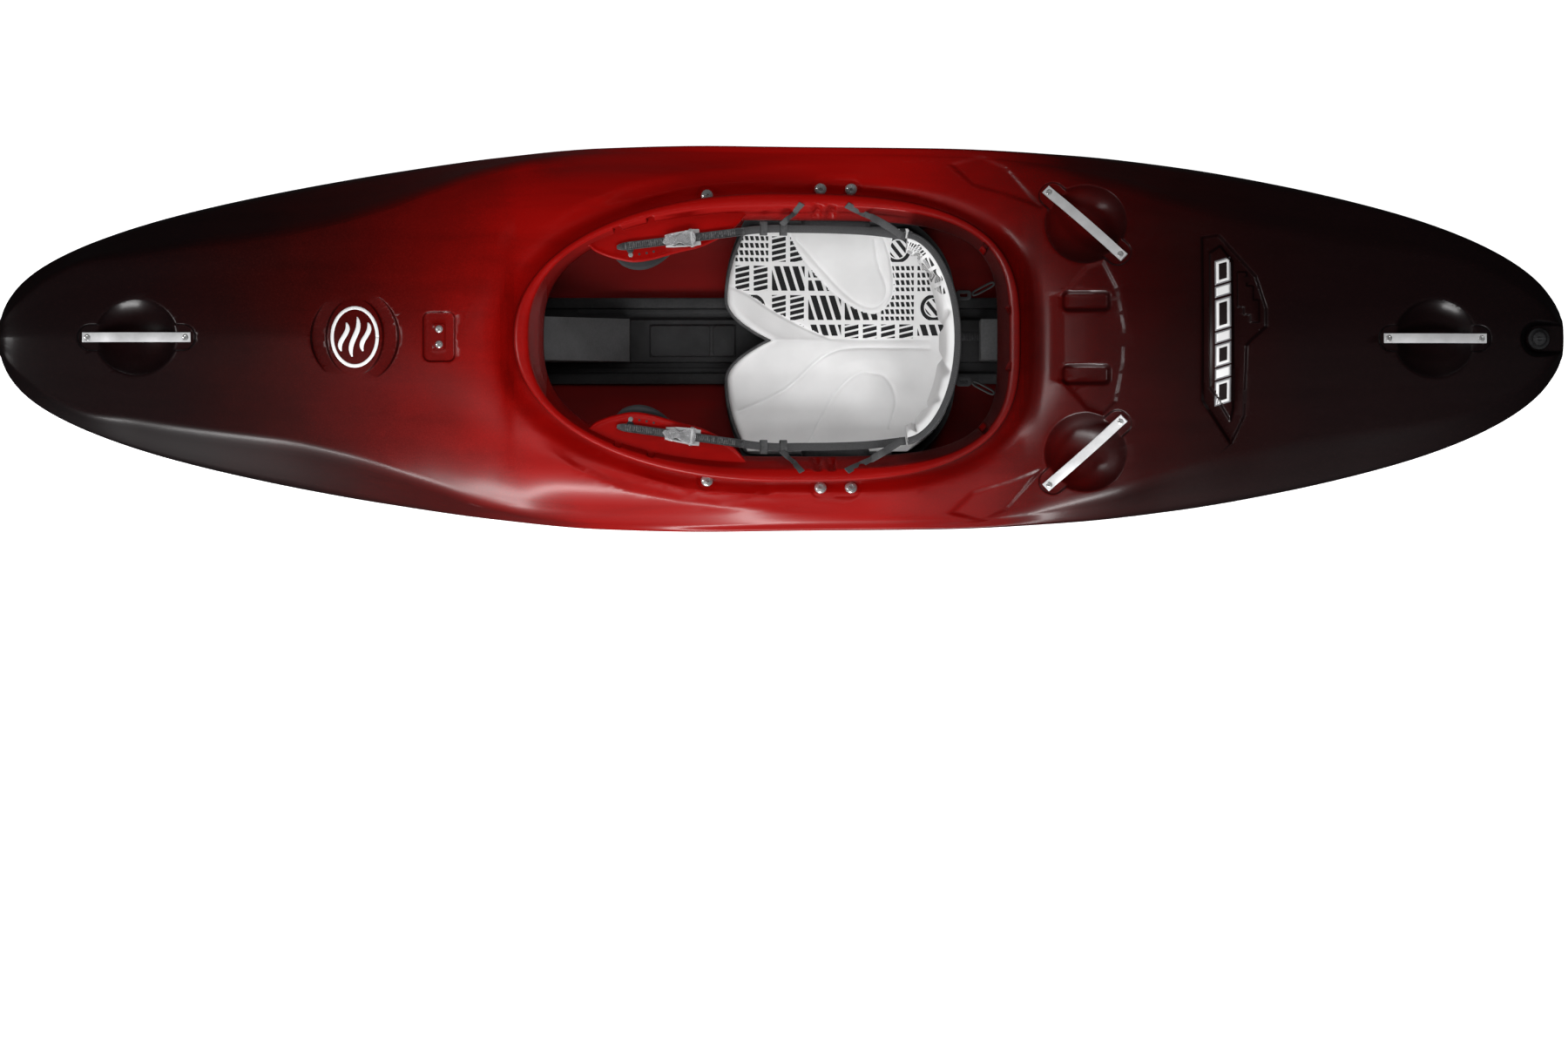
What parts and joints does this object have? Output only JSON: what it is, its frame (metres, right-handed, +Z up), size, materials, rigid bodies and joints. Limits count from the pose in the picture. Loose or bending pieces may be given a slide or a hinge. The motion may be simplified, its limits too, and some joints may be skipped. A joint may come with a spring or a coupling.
{
  "type": "whitewater kayak",
  "caption": "Short closed-deck river kayak with a moulded shell, cockpit rim, outfitted seat, adjustable backband, foot braces and grab handles.",
  "frame": {"origin": "centre of the flat keel plane under the middle of the boat", "axes": "+X towards the stern, +Y to starboard, +Z up"},
  "size_m": [2.463, 0.6092, 0.375],
  "materials": {
    "hull_plastic": "satin",
    "handle_aluminium": "satin",
    "stainless_steel": "polished",
    "black_plastic": "satin",
    "rubber_seal": "matte",
    "grey_foam": "matte",
    "dark_foam": "matte",
    "printed_pad": "matte",
    "clear_plastic": "gloss",
    "ladder_plastic": "satin",
    "webbing": "matte",
    "elastic_cord": "matte"
  },
  "bodies": {
    "hull": {"bow_grab_handle": "handle_aluminium", "bow_handle_screw_front": "stainless_steel", "bow_handle_screw_rear": "stainless_steel", "brace_bolt_left": "stainless_steel", "brace_bolt_right": "stainless_steel", "centre_rail": "black_plastic", "drain_fitting": "black_plastic", "foot_rail_bolt_left": "stainless_steel", "foot_rail_bolt_right": "stainless_steel", "foot_rail_left": "black_plastic", "foot_rail_right": "black_plastic", "front_pillar": "grey_foam", "hanger_bolts_left": "stainless_steel", "hanger_bolts_right": "stainless_steel", "hip_pad_left": "dark_foam", "hip_pad_right": "dark_foam", "hip_plate_left": "black_plastic", "hip_plate_right": "black_plastic", "hull_shell": "hull_plastic", "left_grab_handle": "handle_aluminium", "left_handle_screw_front": "stainless_steel", "left_handle_screw_rear": "stainless_steel", "pillar_screws": "stainless_steel", "ratchet_base_left": "handle_aluminium", "ratchet_base_right": "handle_aluminium", "rear_cord_left": "elastic_cord", "rear_cord_right": "elastic_cord", "rear_pillar": "grey_foam", "right_grab_handle": "handle_aluminium", "right_handle_screw_front": "stainless_steel", "right_handle_screw_rear": "stainless_steel", "side_webbing_left": "webbing", "side_webbing_right": "webbing", "stern_grab_handle": "handle_aluminium", "stern_handle_screw_front": "stainless_steel", "stern_handle_screw_rear": "stainless_steel", "strap_keeper_left": "webbing", "strap_keeper_right": "webbing", "thigh_hook_left": "dark_foam", "thigh_hook_right": "dark_foam", "thigh_plate_left": "hull_plastic", "thigh_plate_right": "hull_plastic"},
    "seat": {"seat_pan": "black_plastic", "seat_pad": "printed_pad"},
    "backband": {"backband_shell": "black_plastic", "backband_pad": "printed_pad", "tail_webbing_left": "webbing", "tail_webbing_right": "webbing", "rear_hook_left": "black_plastic", "rear_hook_right": "black_plastic"},
    "ladder_left": {"ladder_strap_left": "ladder_plastic"},
    "lever_left": {"ratchet_lever_left": "clear_plastic"},
    "foot_rest_left": {"foot_rest_left": "black_plastic", "foot_pad_left": "dark_foam"},
    "ladder_right": {"ladder_strap_right": "ladder_plastic"},
    "lever_right": {"ratchet_lever_right": "clear_plastic"},
    "foot_rest_right": {"foot_rest_right": "black_plastic", "foot_pad_right": "dark_foam"},
    "drain_seal": {"drain_gasket": "rubber_seal"},
    "drain_screw": {"drain_plug": "black_plastic"}
  },
  "joints": [
    {"name": "seat_slide", "type": "slide", "parent": "hull", "child": "seat", "axis": [1, 0, 0], "range_m": [-0.03, 0.03]},
    {"name": "backband_slide", "type": "slide", "parent": "hull", "child": "backband", "axis": [1, 0, 0], "range_m": [-0.022, 0.015], "deforming": ["tail_webbing_left", "tail_webbing_right", "side_webbing_left", "side_webbing_right", "rear_cord_left", "rear_cord_right"]},
    {"name": "ladder_slide_left", "type": "slide", "parent": "hull", "child": "ladder_left", "axis": [0.9598, -0.1296, -0.249], "range_m": [-0.024, 0.0165]},
    {"name": "ladder_slide_right", "type": "slide", "parent": "hull", "child": "ladder_right", "axis": [0.9598, 0.1296, -0.249], "range_m": [-0.024, 0.0165]},
    {"name": "lever_hinge_left", "type": "hinge", "parent": "hull", "child": "lever_left", "pos_m": [-0.14413, -0.15536, 0.32118], "axis": [0.1254, 0.9916, -0.0325], "range_deg": [0, 65], "stiffness_Nm_per_rad": 0.05, "springref_deg": -11.46},
    {"name": "lever_hinge_right", "type": "hinge", "parent": "hull", "child": "lever_right", "pos_m": [-0.14413, 0.15536, 0.32118], "axis": [-0.1254, 0.9916, 0.0325], "range_deg": [0, 65], "stiffness_Nm_per_rad": 0.05, "springref_deg": -11.46},
    {"name": "foot_rest_slide_left", "type": "slide", "parent": "hull", "child": "foot_rest_left", "axis": [0.986, -0.167, 0], "range_m": [-0.05, 0.09]},
    {"name": "foot_rest_slide_right", "type": "slide", "parent": "hull", "child": "foot_rest_right", "axis": [0.986, 0.167, 0], "range_m": [-0.05, 0.09]},
    {"name": "drain_lift", "type": "slide", "parent": "hull", "child": "drain_seal", "axis": [0, 0, 1], "range_m": [0, 0.009]},
    {"name": "drain_turn", "type": "hinge", "parent": "drain_seal", "child": "drain_screw", "pos_m": [1.192, 0, 0.2], "axis": [0, 0, 1], "range_deg": [0, 1080]}
  ],
  "couplings": [
    {"joint": "ladder_slide_left", "follows": "backband_slide", "ratio": 1.0419},
    {"joint": "ladder_slide_right", "follows": "backband_slide", "ratio": 1.0419},
    {"joint": "drain_lift", "follows": "drain_turn", "m_per_rad": 0.000477}
  ]
}
